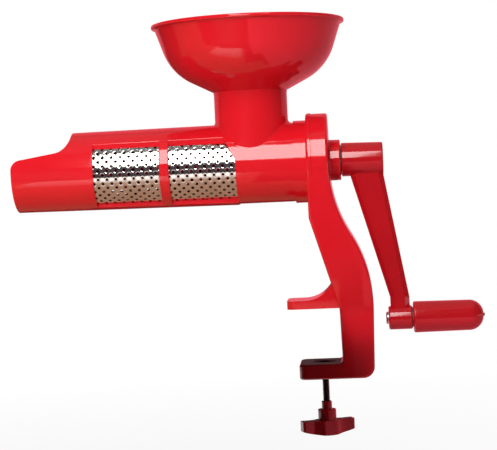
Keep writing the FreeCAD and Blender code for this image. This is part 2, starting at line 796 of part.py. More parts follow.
def make_wing_knob():
    """Wing knob: neck, boss, and a waisted wing with a bellied underside."""
    end = wing_length / 2
    half_plan = [
        (-end, -wing_end_half, 2.0),
        (-wing_waist_offset, -wing_waist_half, 8.0),
        (-wing_drum_offset, -wing_drum_half, 5.0),
        (wing_drum_offset, -wing_drum_half, 5.0),
        (wing_waist_offset, -wing_waist_half, 8.0),
        (end, -wing_end_half, 2.0),
    ]
    plan = outline(half_plan + [(-a, -b, r) for a, b, r in half_plan], in_xy)
    plan.translate(FreeCAD.Vector(0, 0, wing_bottom - 1))
    wing = plan.extrude(FreeCAD.Vector(0, 0, wing_top - wing_bottom + 1))
    belly_radius = (end ** 2 + wing_belly ** 2) / (2 * wing_belly)
    drum = Part.makeCylinder(belly_radius, 2 * end, FreeCAD.Vector(0, -end, wing_bottom + belly_radius),
                             FreeCAD.Vector(0, 1, 0))
    wing = wing.common(drum)
    stem = turned_z([
        (0, wing_top - 1),
        (knob_boss_radius, wing_top - 1),
        (knob_boss_radius, knob_boss_top, 0.8),
        (knob_neck_radius, knob_boss_top, 0.6),
        (knob_neck_radius, knob_top, 0.6),
        (0, knob_top),
    ], 0)
    knob = wing.fuse(stem).cut(rod_z(knob_top - knob_socket_depth - axial_play, knob_top + 1,
                                     screw_radius + fixed_fit, 0))
    knob.rotate(FreeCAD.Vector(), FreeCAD.Vector(0, 0, 1), wing_turn)
    knob.translate(FreeCAD.Vector(clamp_x, 0, 0))
    return knob


def main():
    os.makedirs("parts", exist_ok=True)
    pieces = {
        "hopper_bowl": make_hopper_bowl(),
        "barrel": make_barrel(),
        "strainer_screen": make_strainer_screen(),
        "screen_ring": make_screen_ring(),
        "barrel_gasket": make_barrel_gasket(),
        "clamp_bracket": make_clamp_bracket(),
        "shaft_bush": make_shaft_bush(),
        "shaft_seal": make_shaft_seal(),
        "thrust_washer": make_thrust_washer(),
        "auger": make_auger(),
        "auger_shaft": make_auger_shaft(),
        "drive_pin": pin_rod(pin_radius, 0),
        "crank_arm": make_crank_arm(),
        "crank_washer": make_crank_washer(),
        "crank_screw": make_crank_screw(),
        "grip": make_grip(),
        "grip_washer": make_grip_washer(),
        "grip_screw": make_grip_screw(),
        "clamp_nut": make_clamp_nut(),
        "clamp_screw": make_clamp_screw(),
        "clamp_pad": make_clamp_pad(),
        "pad_retainer": make_pad_retainer(),
        "wing_knob": make_wing_knob(),
    }
    for name, piece in pieces.items():
        piece.exportStep("parts/" + name + ".step")


main()
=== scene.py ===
from math import cos, pi, radians, sin

import bpy
from bpy.props import FloatProperty, FloatVectorProperty, IntProperty, PointerProperty
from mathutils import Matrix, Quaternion, Vector


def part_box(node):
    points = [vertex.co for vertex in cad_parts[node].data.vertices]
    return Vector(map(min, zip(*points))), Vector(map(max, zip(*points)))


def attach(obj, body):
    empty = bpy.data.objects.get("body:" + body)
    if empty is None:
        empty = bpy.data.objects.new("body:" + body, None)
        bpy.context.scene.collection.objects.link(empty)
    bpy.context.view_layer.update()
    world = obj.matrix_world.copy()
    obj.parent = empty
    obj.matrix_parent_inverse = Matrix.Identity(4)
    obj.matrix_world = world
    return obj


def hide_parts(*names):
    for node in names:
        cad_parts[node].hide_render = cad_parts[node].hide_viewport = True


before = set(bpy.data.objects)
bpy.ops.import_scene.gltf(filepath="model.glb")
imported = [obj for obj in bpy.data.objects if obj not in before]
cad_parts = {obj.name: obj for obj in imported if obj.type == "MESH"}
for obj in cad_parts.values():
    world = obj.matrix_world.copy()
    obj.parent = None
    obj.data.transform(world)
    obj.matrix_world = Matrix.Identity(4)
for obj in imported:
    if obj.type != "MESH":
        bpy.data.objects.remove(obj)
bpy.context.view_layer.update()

bl_info = {
    "name": "Food mill",
    "version": (1, 0, 0),
    "blender": (4, 5, 0),
    "location": "View3D > Sidebar > Food mill",
    "description": "Screen, clamp thread, finishes and studio of a hand-cranked food mill",
    "category": "Object",
}

MM = 0.001
# Points closer together than this are merged, on the screen and on the finer thread
SCREEN_WELD = 0.02 * MM
THREAD_WELD = 0.01 * MM
LEVEL = (0.0, 0.0, 0.0)
UPRIGHT = (pi / 2, 0.0, 0.0)


# Sizes and colours


class ScreenSizes(bpy.types.PropertyGroup):
    """Sizes of the perforated steel screen."""

    hole_radius: FloatProperty(
        name="Hole radius", description="Radius of one juice hole", default=1.25 * MM, subtype="DISTANCE"
    )
    dimple_radius: FloatProperty(
        name="Dimple radius", description="Outer radius of the pressed dimple round a hole",
        default=2.0 * MM, subtype="DISTANCE",
    )
    dimple_depth: FloatProperty(
        name="Dimple depth", description="How far the sheet is pressed in at a hole", default=0.085 * MM,
        subtype="DISTANCE",
    )
    brow_share: FloatProperty(
        name="Brow share", description="Where the dimple starts to rise steeply, as a share of its radius",
        default=0.84, subtype="FACTOR",
    )
    brow_rise: FloatProperty(
        name="Brow rise", description="Rise of the dimple up to that place, as a share of its depth",
        default=0.15, subtype="FACTOR",
    )
    hole_pitch: FloatProperty(
        name="Hole pitch", description="Distance between the holes of one row", default=7.07 * MM,
        subtype="DISTANCE",
    )
    hole_shift: FloatProperty(
        name="Hole shift", description="Shift of the hole pattern along the screen", default=0.0,
        subtype="DISTANCE",
    )
    row_turn: FloatProperty(
        name="Row turn", description="Turn of the hole pattern about the screen's axis",
        default=radians(-1.0), subtype="ANGLE",
    )
    row_pairs: IntProperty(
        name="Row pairs", description="Pairs of staggered rows round the screen", default=26, min=3
    )
    hole_sides: IntProperty(name="Hole sides", description="Corners of one hole", default=12, min=4, step=4)
    sheet_thickness: FloatProperty(
        name="Sheet thickness", description="Thickness of the steel sheet", default=0.4 * MM,
        subtype="DISTANCE",
    )
    crease_angle: FloatProperty(
        name="Crease angle", description="Bends of the sheet that are sharper than this show as edges",
        default=radians(9.0), subtype="ANGLE",
    )


class ThreadSizes(bpy.types.PropertyGroup):
    """Sizes of the clamp screw's thread."""

    pitch: FloatProperty(
        name="Pitch", description="Rise of the thread in one turn", default=1.0 * MM, subtype="DISTANCE"
    )
    depth: FloatProperty(
        name="Depth", description="Depth of the thread below the screw's outside", default=0.55 * MM,
        subtype="DISTANCE",
    )
    profile_cuts: IntProperty(
        name="Profile cuts", description="Points put into one pitch of the thread's profile", default=4,
        min=2,
    )
    ridge_share: FloatProperty(
        name="Ridge share", description="Half the height drawn out into the ridge, as a share of the pitch",
        default=0.2, subtype="FACTOR",
    )
    crest_share: FloatProperty(
        name="Crest share", description="Height of the ridge's crest, as a share of what was drawn out",
        default=0.6, subtype="FACTOR",
    )
    sides: IntProperty(name="Sides", description="Steps in one turn of the thread", default=20, min=8)
    tip_radius: FloatProperty(
        name="Tip radius", description="Radius of the thin tip that carries the pad", default=1.98 * MM,
        subtype="DISTANCE",
    )
    shoulder_gap: FloatProperty(
        name="Shoulder gap", description="Play between the thread's end and the pad", default=0.1 * MM,
        subtype="DISTANCE",
    )
    crease_angle: FloatProperty(
        name="Crease angle", description="Bends of the screw that are sharper than this show as edges",
        default=radians(40.0), subtype="ANGLE",
    )


class PlasticLook(bpy.types.PropertyGroup):
    """Colours and gloss of the moulded red plastic."""

    colour: FloatVectorProperty(
        name="Colour", description="Colour of the plastic", default=(0.71, 0.0095, 0.018), subtype="COLOR",
        min=0.0, max=1.0,
    )
    deep_colour: FloatVectorProperty(
        name="Deep colour", description="Colour of the plastic where its pigment is densest",
        default=(0.63, 0.0070, 0.013), subtype="COLOR", min=0.0, max=1.0,
    )
    # Painted shade: the crank, the grip and the knob get a deeper red than the body, standing in for the
    # shade that falls on the crank side and on the knob
    crank_painted_shade_colour: FloatVectorProperty(
        name="Crank colour", description="Deeper red of the crank, the grip and the knob",
        default=(0.50, 0.0065, 0.012), subtype="COLOR", min=0.0, max=1.0,
    )
    deep_crank_painted_shade_colour: FloatVectorProperty(
        name="Deep crank colour", description="The same where its pigment is densest",
        default=(0.44, 0.0050, 0.009), subtype="COLOR", min=0.0, max=1.0,
    )
    # Painted shade: the feed screw is a much darker red than the body, standing in for the shade inside the
    # barrel that shows through the screen's holes
    screw_painted_shade_colour: FloatVectorProperty(
        name="Feed screw colour", description="Dark red of the feed screw", default=(0.17, 0.004, 0.007),
        subtype="COLOR", min=0.0, max=1.0,
    )
    deep_screw_painted_shade_colour: FloatVectorProperty(
        name="Deep feed screw colour", description="The same where its pigment is densest",
        default=(0.13, 0.003, 0.005), subtype="COLOR", min=0.0, max=1.0,
    )
    roughness: FloatProperty(
        name="Roughness", description="Roughness of the moulded surface", default=0.09, subtype="FACTOR",
        min=0.0, max=1.0,
    )
    flow_size: FloatProperty(
        name="Flow size", description="Length of the faint flow clouds in the plastic", default=40.0 * MM,
        subtype="DISTANCE",
    )


class SteelLook(bpy.types.PropertyGroup):
    """Colours and gloss of the metal pieces."""

    screen_colour: FloatVectorProperty(
        name="Screen colour", description="Colour of the polished stainless screen",
        default=(0.80, 0.78, 0.75), subtype="COLOR", min=0.0, max=1.0,
    )
    screen_stain: FloatVectorProperty(
        name="Screen stain", description="Colour of the screen's water stains", default=(0.70, 0.68, 0.64),
        subtype="COLOR", min=0.0, max=1.0,
    )
    shaft_colour: FloatVectorProperty(
        name="Shaft colour", description="Colour of the turned steel", default=(0.60, 0.60, 0.60),
        subtype="COLOR", min=0.0, max=1.0,
    )
    shaft_stain: FloatVectorProperty(
        name="Shaft stain", description="Colour of the turned steel where it is stained",
        default=(0.42, 0.42, 0.43), subtype="COLOR", min=0.0, max=1.0,
    )
    dark_colour: FloatVectorProperty(
        name="Dark colour", description="Colour of the blackened clamp steel",
        default=(0.035, 0.030, 0.032), subtype="COLOR", min=0.0, max=1.0,
    )
    rubbed_colour: FloatVectorProperty(
        name="Rubbed colour", description="Colour of the clamp steel where its black is rubbed",
        default=(0.12, 0.11, 0.11), subtype="COLOR", min=0.0, max=1.0,
    )


class SmallPartLook(bpy.types.PropertyGroup):
    """Colours of the bearing plastic and the rubber."""

    bearing_colour: FloatVectorProperty(
        name="Bearing colour", description="Colour of the dark bearing plastic",
        default=(0.06, 0.055, 0.055), subtype="COLOR", min=0.0, max=1.0,
    )
    bearing_cloud: FloatVectorProperty(
        name="Bearing cloud", description="Colour of the bearing plastic where it is cloudy",
        default=(0.10, 0.09, 0.085), subtype="COLOR", min=0.0, max=1.0,
    )
    rubber_colour: FloatVectorProperty(
        name="Rubber colour", description="Colour of the seal rubber", default=(0.045, 0.042, 0.04),
        subtype="COLOR", min=0.0, max=1.0,
    )
    rubber_bloom: FloatVectorProperty(
        name="Rubber bloom", description="Colour of the dusty bloom on the rubber",
        default=(0.10, 0.095, 0.09), subtype="COLOR", min=0.0, max=1.0,
    )


class StageSizes(bpy.types.PropertyGroup):
    """Camera, light and cloths of the studio."""

    lens: FloatProperty(
        name="Lens", description="Focal length of the camera", default=115.9, subtype="DISTANCE_CAMERA"
    )
    sensor_width: FloatProperty(
        name="Sensor width", description="Width of the camera's sensor", default=36.0,
        subtype="DISTANCE_CAMERA",
    )
    camera_place: FloatVectorProperty(
        name="Camera place", description="Where the camera stands", default=(0.041, -1.280, 0.103),
        subtype="TRANSLATION",
    )
    aim: FloatVectorProperty(
        name="Aim", description="Point in the middle of the picture", default=(-0.0494, 0.0, 0.068),
        subtype="TRANSLATION",
    )
    roll: FloatProperty(
        name="Roll", description="Turn of the camera about its own line of sight", default=radians(-2.6),
        subtype="ANGLE",
    )
    floor_height: FloatProperty(
        name="Floor height", description="Height of the floor", default=-0.32, subtype="DISTANCE"
    )
    ambient: FloatProperty(
        name="Ambient", description="Strength of the soft light from all round", default=0.40,
        subtype="FACTOR",
    )
    room: FloatProperty(
        name="Room", description="Brightness, in reflections, of the room behind the camera", default=0.05,
        subtype="FACTOR",
    )
    sky: FloatProperty(
        name="Sky", description="Brightness, in reflections, of the ceiling", default=0.22, subtype="FACTOR"
    )
    grey_cloth_top: FloatProperty(
        name="Grey cloth top", description="Height of the grey cloth's top edge", default=0.19,
        subtype="DISTANCE",
    )
    key_place: FloatVectorProperty(
        name="Key place", description="Middle of the soft box", default=(-0.12, -0.95, 0.70),
        subtype="TRANSLATION",
    )
    key_aim: FloatVectorProperty(
        name="Key aim", description="Point that the soft box faces", default=(-0.05, 0.0, 0.117),
        subtype="TRANSLATION",
    )
    key_width: FloatProperty(
        name="Key width", description="Width of the soft box", default=0.45, subtype="DISTANCE"
    )
    key_height: FloatProperty(
        name="Key height", description="Height of the soft box", default=0.83, subtype="DISTANCE"
    )
    key_power: FloatProperty(
        name="Key power", description="Power of the soft box", default=9.4, unit="POWER"
    )
    fill_place: FloatVectorProperty(
        name="Fill place", description="Middle of the low fill light", default=(-0.45, -1.0, -0.12),
        subtype="TRANSLATION",
    )
    fill_size: FloatProperty(
        name="Fill size", description="Width and height of the low fill light", default=0.6,
        subtype="DISTANCE",
    )
    fill_power: FloatProperty(
        name="Fill power", description="Power of the low fill light", default=5.4, unit="POWER"
    )


# Shader values


class Value:
    """A number or colour in a material, used in expressions like a plain number."""

    def __init__(self, nodes, socket):
        self.nodes = nodes
        self.socket = socket

    def maths(self, operation, first, second):
        return self.nodes.node("ShaderNodeMath", {"operation": operation}, {0: first, 1: second})

    def __add__(self, other):
        return self.maths("ADD", self, other)

    def __radd__(self, other):
        return self.maths("ADD", other, self)

    def __sub__(self, other):
        return self.maths("SUBTRACT", self, other)

    def __rsub__(self, other):
        return self.maths("SUBTRACT", other, self)

    def __mul__(self, other):
        return self.maths("MULTIPLY", self, other)

    def __rmul__(self, other):
        return self.maths("MULTIPLY", other, self)


class Nodes:
    """A node tree that is built node by node."""

    def __init__(self, tree):
        self.tree = tree
        self.tree.nodes.clear()

    def node(self, kind, settings, inputs, output=0):
        """Adds a node, sets it up, links its inputs and gives back one output."""
        node = self.tree.nodes.new(kind)
        for name, setting in settings.items():
            if name == "stops":
                self.set_stops(node, setting)
            else:
                setattr(node, name, setting)
        for name, value in inputs.items():
            if isinstance(value, Value):
                self.tree.links.new(value.socket, node.inputs[name])
            else:
                node.inputs[name].default_value = value
        return Value(self, node.outputs[output]) if len(node.outputs) else None

    def set_stops(self, node, stops):
        elements = node.color_ramp.elements
        while len(elements) < len(stops):
            elements.new(1.0)
        for element, (position, level) in zip(elements, stops):
            element.position = position
            element.color = (level, level, level, 1.0)

    def rays(self, kind):
        """1 where a ray of this kind arrives, and 0 for other rays."""
        return self.node("ShaderNodeLightPath", {}, {}, f"Is {kind} Ray")

    def ramp(self, value, stops):
        return self.node("ShaderNodeValToRGB", {"stops": stops}, {"Fac": value}, "Color")


class Finish(Nodes):
    """One procedural material."""

    def __init__(self, name):
        self.material = bpy.data.materials.new(name)
        self.material.use_nodes = True
        super().__init__(self.material.node_tree)
        self.place = self.node("ShaderNodeTexCoord", {}, {}, "Object")

    def stretched(self, stretch):
        """Object coordinates scaled along X, Y and Z."""
        return self.node("ShaderNodeMapping", {}, {"Vector": self.place, "Scale": stretch})

    def clouds(self, size, detail=3.0, stretch=(1.0, 1.0, 1.0)):
        """Soft noise whose clouds are about as long as the size."""
        return self.node(
            "ShaderNodeTexNoise", {},
            {"Vector": self.stretched(stretch), "Scale": 1.0 / size, "Detail": detail, "Roughness": 0.55},
            "Fac",
        )

    def mixed(self, share, first, second):
        """A colour between two others."""
        return self.node(
            "ShaderNodeMix", {"data_type": "RGBA"}, {0: share, 6: first, 7: second}, 2
        )

    def bumps(self, height, distance, strength):
        return self.node(
            "ShaderNodeBump", {}, {"Height": height, "Distance": distance, "Strength": strength}
        )

    def shader(self, inputs):
        return self.node("ShaderNodeBsdfPrincipled", {}, inputs)

    def surface(self, inputs):
        return self.shown(self.shader(inputs))

    def shown(self, shader):
        """Ends the material with a shader and gives the material back."""
        self.node("ShaderNodeOutputMaterial", {}, {"Surface": shader})
        return self.material


def opaque(colour):
    return (colour[0], colour[1], colour[2], 1.0)


# Finishes


def red_plastic(name, look, light, deep):
    """Glossy injection-moulded plastic with faint flow clouds and fine wear."""
    finish = Finish(name)
    flow = finish.clouds(look.flow_size, 4.0, (0.6, 1.0, 1.0))
    specks = finish.clouds(0.6 * MM, 2.0)
    smears = finish.clouds(9.0 * MM, 5.0, (1.0, 1.0, 0.45))
    colour = finish.mixed(
        finish.ramp(flow, ((0.30, 0.0), (0.72, 1.0))), opaque(light), opaque(deep)
    )
    gloss = look.roughness + 0.06 * (smears - 0.5) + 0.03 * (specks - 0.5)
    waviness = flow * 0.7 + smears * 0.3
    return finish.surface(
        {
            "Base Color": colour,
            "Roughness": gloss,
            "Normal": finish.bumps(waviness, 0.10 * MM, 0.25),
            "IOR": 1.5,
            "Coat Weight": 0.3,
            "Coat Roughness": 0.05,
        }
    )


def screen_steel(look):
    """Polished stainless sheet with faint rolling marks and water stains."""
    finish = Finish("screen_steel")
    rolling = finish.clouds(1.2 * MM, 3.0, (0.06, 1.0, 1.0))
    stains = finish.clouds(14.0 * MM, 4.0)
    colour = finish.mixed(
        finish.ramp(stains, ((0.35, 0.0), (0.75, 1.0))),
        opaque(look.screen_colour), opaque(look.screen_stain)
    )
    return finish.surface(
        {
            "Base Color": colour,
            "Metallic": 1.0,
            "Roughness": 0.05 + 0.06 * stains + 0.03 * rolling,
            "Normal": finish.bumps(rolling, 0.01 * MM, 0.15),
        }
    )


def shaft_steel(look):
    """Turned steel with fine rings from the lathe."""
    finish = Finish("shaft_steel")
    rings = finish.clouds(0.5 * MM, 2.0, (1.0, 0.05, 0.05))
    stains = finish.clouds(6.0 * MM, 4.0)
    colour = finish.mixed(stains, opaque(look.shaft_colour), opaque(look.shaft_stain))
    return finish.surface(
        {
            "Base Color": colour,
            "Metallic": 1.0,
            "Roughness": 0.24 + 0.14 * stains,
            "Normal": finish.bumps(rings, 0.03 * MM, 0.5),
        }
    )


def dark_steel(look):
    """Blackened steel of the clamp, a little oily and rubbed."""
    finish = Finish("dark_steel")
    rubbed = finish.clouds(3.0 * MM, 5.0)
    grain = finish.clouds(0.4 * MM, 2.0)
    colour = finish.mixed(
        finish.ramp(rubbed, ((0.52, 0.0), (0.80, 1.0))),
        opaque(look.dark_colour), opaque(look.rubbed_colour)
    )
    return finish.surface(
        {
            "Base Color": colour,
            "Metallic": 0.75,
            "Roughness": 0.38 + 0.18 * rubbed,
            "Normal": finish.bumps(grain, 0.03 * MM, 0.5),
        }
    )


def bearing_plastic(look):
    """Dark bearing plastic, slightly cloudy."""
    finish = Finish("bearing_plastic")
    cloud = finish.clouds(5.0 * MM, 3.0)
    grain = finish.clouds(0.5 * MM, 2.0)
    colour = finish.mixed(cloud, opaque(look.bearing_colour), opaque(look.bearing_cloud))
    return finish.surface(
        {
            "Base Color": colour,
            "Roughness": 0.38 + 0.14 * cloud,
            "Normal": finish.bumps(grain, 0.02 * MM, 0.4),
        }
    )


def seal_rubber(look):
    """Matt dark rubber with a dusty bloom."""
    finish = Finish("seal_rubber")
    bloom = finish.clouds(4.0 * MM, 5.0)
    grain = finish.clouds(0.35 * MM, 2.0)
    colour = finish.mixed(
        finish.ramp(bloom, ((0.45, 0.0), (0.85, 1.0))),
        opaque(look.rubber_colour), opaque(look.rubber_bloom)
    )
    return finish.surface(
        {
            "Base Color": colour,
            "Roughness": 0.55 + 0.2 * bloom,
            "Normal": finish.bumps(grain, 0.04 * MM, 0.6),
        }
    )


# Modelling helpers


def nothing_selected():
    if bpy.context.mode != "OBJECT":
        bpy.ops.object.mode_set(mode="OBJECT")
    bpy.ops.object.select_all(action="DESELECT")


def active_piece(name):
    """Names the object that an add operator has just made."""
    piece = bpy.context.active_object
    piece.name = name
    piece.data.name = name
    return piece


def apply_modifier(piece, kind, settings):
    """Adds a modifier, sets it up and applies it."""
    modifier = piece.modifiers.new(kind.lower(), kind)
    for name, setting in settings.items():
        setattr(modifier, name, setting)
    bpy.ops.object.modifier_apply(modifier=modifier.name)


def trim(place, normal, fill):
    """Cuts away what lies beyond a plane."""
    bpy.ops.mesh.select_all(action="SELECT")
    bpy.ops.mesh.bisect(
        plane_co=place, plane_no=Vector(normal).normalized(), clear_outer=True, use_fill=fill
    )


def settle(piece):
    """Puts a finished piece's place into its mesh."""
    bpy.ops.object.transform_apply(location=True, rotation=True, scale=True)
    piece.select_set(False)


def wear(piece, material):
    piece.data.materials.clear()
    piece.data.materials.append(material)


def finish_of(node):
    """The material that a carried-over piece wears."""
    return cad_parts[node].data.materials[0]


# Pieces and stage


class MILL_OT_screen(bpy.types.Operator):
    """Model the dimpled steel screen and put it in the place of the plain one"""

    bl_idname = "mill.screen"
    bl_label = "Screen"

    def execute(self, context):
        sizes = context.scene.mill_screen
        low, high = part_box("strainer_screen")
        outside = (high[2] - low[2]) / 2
        middle = (high[2] + low[2]) / 2
        length = high[0] - low[0]
        girth = 2 * pi * outside
        half_step = girth / sizes.row_pairs / 2
        half_pitch = sizes.hole_pitch / 2
        columns = int(length / sizes.hole_pitch) + 2

        nothing_selected()
        bpy.ops.mesh.primitive_circle_add(
            vertices=sizes.hole_sides, radius=sizes.hole_radius, fill_type="NOTHING",
            location=(0.0, 0.0, -sizes.dimple_depth), rotation=(0.0, 0.0, 0.0),
        )
        screen = active_piece("dimpled_screen")
        bpy.ops.object.transform_apply(location=True, rotation=True, scale=True)
        bpy.ops.object.mode_set(mode="EDIT")
        bpy.ops.mesh.select_all(action="SELECT")
        brow = sizes.brow_share * sizes.dimple_radius
        self.widen(sizes.hole_radius, brow, sizes.brow_rise * sizes.dimple_depth)
        self.widen(brow, sizes.dimple_radius, (1.0 - sizes.brow_rise) * sizes.dimple_depth)
        self.widen(sizes.dimple_radius, 2.0 * max(half_step, half_pitch), 0.0)
        for along in (1, -1):
            for across in (1, -1):
                trim((along * half_pitch, 0.0, 0.0), (along * half_step, across * half_pitch, 0.0), False)
        bpy.ops.object.mode_set(mode="OBJECT")

        for count, offset in (
            (2, (half_pitch, half_step, 0.0)),
            (columns, (2 * half_pitch, 0.0, 0.0)),
            (sizes.row_pairs, (0.0, 2 * half_step, 0.0)),
        ):
            apply_modifier(
                screen, "ARRAY",
                {"count": count, "use_relative_offset": False, "use_constant_offset": True,
                 "constant_offset_displace": offset, "use_merge_vertices": True,
                 "merge_threshold": SCREEN_WELD},
            )
        self.roll_up(screen, outside, girth, sizes.row_turn)
        bpy.ops.object.mode_set(mode="EDIT")
        bpy.ops.mesh.select_all(action="SELECT")
        bpy.ops.mesh.remove_doubles(threshold=SCREEN_WELD)
        bpy.ops.mesh.normals_make_consistent(inside=False)
        shift = low[0] - half_pitch + sizes.hole_shift
        bpy.ops.transform.translate(value=(shift, 0.0, middle))
        trim((low[0], 0.0, 0.0), (-1.0, 0.0, 0.0), False)
        trim((high[0], 0.0, 0.0), (1.0, 0.0, 0.0), False)
        bpy.ops.object.mode_set(mode="OBJECT")
        apply_modifier(
            screen, "SOLIDIFY", {"thickness": sizes.sheet_thickness, "offset": -1.0, "use_rim": True}
        )
        bpy.ops.object.shade_smooth_by_angle(angle=sizes.crease_angle)
        settle(screen)
        wear(screen, finish_of("strainer_screen"))
        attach(screen, "bracket")
        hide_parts("strainer_screen")
        return {"FINISHED"}

    def widen(self, radius, wider, rise):
        """Draws the open edge outwards to a wider ring."""
        bpy.ops.mesh.extrude_edges_move(TRANSFORM_OT_translate={"value": (0.0, 0.0, rise)})
        grow = wider / radius
        bpy.ops.transform.resize(value=(grow, grow, 1.0), center_override=(0.0, 0.0, 0.0))

    def roll_up(self, screen, outside, girth, turn):
        """Rolls the flat sheet into a tube about the X axis."""
        count = len(screen.data.vertices)
        places = [0.0] * (3 * count)
        screen.data.vertices.foreach_get("co", places)
        for index in range(count):
            along, round_it, height = places[3 * index: 3 * index + 3]
            angle = 2 * pi * round_it / girth + turn
            places[3 * index + 1] = (outside + height) * sin(angle)
            places[3 * index + 2] = (outside + height) * cos(angle)
        screen.data.vertices.foreach_set("co", places)
        screen.data.update()


class MILL_OT_clamp_thread(bpy.types.Operator):
    """Model the threaded clamp screw and put it in the place of the plain rod"""

    bl_idname = "mill.clamp_thread"
    bl_label = "Clamp thread"

    def execute(self, context):
        sizes = context.scene.mill_thread
        low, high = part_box("clamp_screw")
        pad_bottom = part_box("clamp_pad")[0][2]
        outside = (high[0] - low[0]) / 2
        middle = (high[0] + low[0]) / 2
        root = outside - sizes.depth
        turns = int((pad_bottom - low[2]) / sizes.pitch) + 2

        nothing_selected()
        bpy.ops.mesh.primitive_plane_add(
            size=sizes.pitch, location=(root - sizes.pitch / 2, 0.0, 0.0), rotation=(pi / 2, 0.0, 0.0)
        )
        screw = active_piece("threaded_screw")
        bpy.ops.object.transform_apply(location=True, rotation=True, scale=True)
        self.pick(screw, lambda place: place.x < root - sizes.pitch / 2)
        bpy.ops.mesh.delete(type="VERT")
        bpy.ops.mesh.select_all(action="SELECT")
        bpy.ops.mesh.subdivide(number_cuts=sizes.profile_cuts)
        self.pick(screw, lambda place: abs(place.z) < sizes.ridge_share * sizes.pitch)
        bpy.ops.transform.translate(value=(sizes.depth, 0.0, 0.0))
        bpy.ops.transform.resize(
            value=(1.0, 1.0, sizes.crest_share), center_override=(outside, 0.0, 0.0)
        )
        bpy.ops.object.mode_set(mode="OBJECT")
        apply_modifier(
            screw, "SCREW",
            {"axis": "Z", "angle": 2 * pi, "screw_offset": sizes.pitch, "iterations": turns,
             "steps": sizes.sides, "render_steps": sizes.sides, "use_merge_vertices": True,
             "merge_threshold": THREAD_WELD},
        )
        bpy.ops.object.mode_set(mode="EDIT")
        bpy.ops.mesh.select_all(action="SELECT")
        bpy.ops.mesh.remove_doubles(threshold=THREAD_WELD)
        bpy.ops.transform.translate(value=(middle, 0.0, low[2] - sizes.pitch / 2))
        trim((0.0, 0.0, low[2]), (0.0, 0.0, -1.0), True)
        trim((0.0, 0.0, pad_bottom - sizes.shoulder_gap), (0.0, 0.0, 1.0), True)
        bpy.ops.mesh.select_all(action="SELECT")
        bpy.ops.mesh.normals_make_consistent(inside=False)
        tip = high[2] - pad_bottom + sizes.pitch
        bpy.ops.mesh.select_all(action="DESELECT")
        bpy.ops.mesh.primitive_cylinder_add(
            vertices=sizes.sides, radius=sizes.tip_radius, depth=tip,
            location=(middle, 0.0, high[2] - tip / 2),
        )
        bpy.ops.object.mode_set(mode="OBJECT")
        bpy.ops.object.shade_smooth_by_angle(angle=sizes.crease_angle)
        settle(screw)
        wear(screw, finish_of("clamp_screw"))
        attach(screw, "screw")
        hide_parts("clamp_screw")
        return {"FINISHED"}

    def pick(self, piece, wanted):
        """Selects the points whose place is wanted, and leaves the piece in edit mode."""
        bpy.ops.object.mode_set(mode="EDIT")
        bpy.ops.mesh.select_mode(type="VERT")
        bpy.ops.mesh.select_all(action="DESELECT")
        bpy.ops.object.mode_set(mode="OBJECT")
        for point in piece.data.vertices:
            point.select = wanted(point.co)
        bpy.ops.object.mode_set(mode="EDIT")


class MILL_OT_finishes(bpy.types.Operator):
    """Give every carried-over piece its moulded, turned or rubber finish"""

    bl_idname = "mill.finishes"
    bl_label = "Finishes"

    def execute(self, context):
        scene = context.scene
        red = scene.mill_plastic
        looks = {
            "red_plastic": red_plastic("red_plastic", red, red.colour, red.deep_colour),
            "crank_plastic_painted_shade": red_plastic("crank_plastic_painted_shade", red, red.crank_painted_shade_colour, red.deep_crank_painted_shade_colour),
            "feed_plastic_painted_shade": red_plastic("feed_plastic_painted_shade", red, red.screw_painted_shade_colour, red.deep_screw_painted_shade_colour),
            "screen_steel": screen_steel(scene.mill_steel),
            "shaft_steel": shaft_steel(scene.mill_steel),
            "dark_steel": dark_steel(scene.mill_steel),
            "bearing": bearing_plastic(scene.mill_small_parts),
            "seal": seal_rubber(scene.mill_small_parts),
        }
        wanted = {
            # Painted shade: the crank, the grip and the wing knob wear the darker red
            "crank_plastic_painted_shade": ("crank_arm", "grip", "wing_knob"),
            # Painted shade: the feed screw wears the very dark red
            "feed_plastic_painted_shade": ("auger",),
            "shaft_steel": ("auger_shaft", "drive_pin", "crank_washer", "crank_screw", "grip_screw"),
            "dark_steel": ("clamp_nut", "clamp_screw", "clamp_pad", "pad_retainer"),
            "bearing": ("shaft_bush", "thrust_washer", "grip_washer"),
            "seal": ("shaft_seal", "barrel_gasket"),
            "screen_steel": ("strainer_screen",),
        }
        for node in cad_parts.values():
            wear(node, looks["red_plastic"])
        for look, names in wanted.items():
            for name in names:
                wear(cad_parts[name], looks[look])
        return {"FINISHED"}


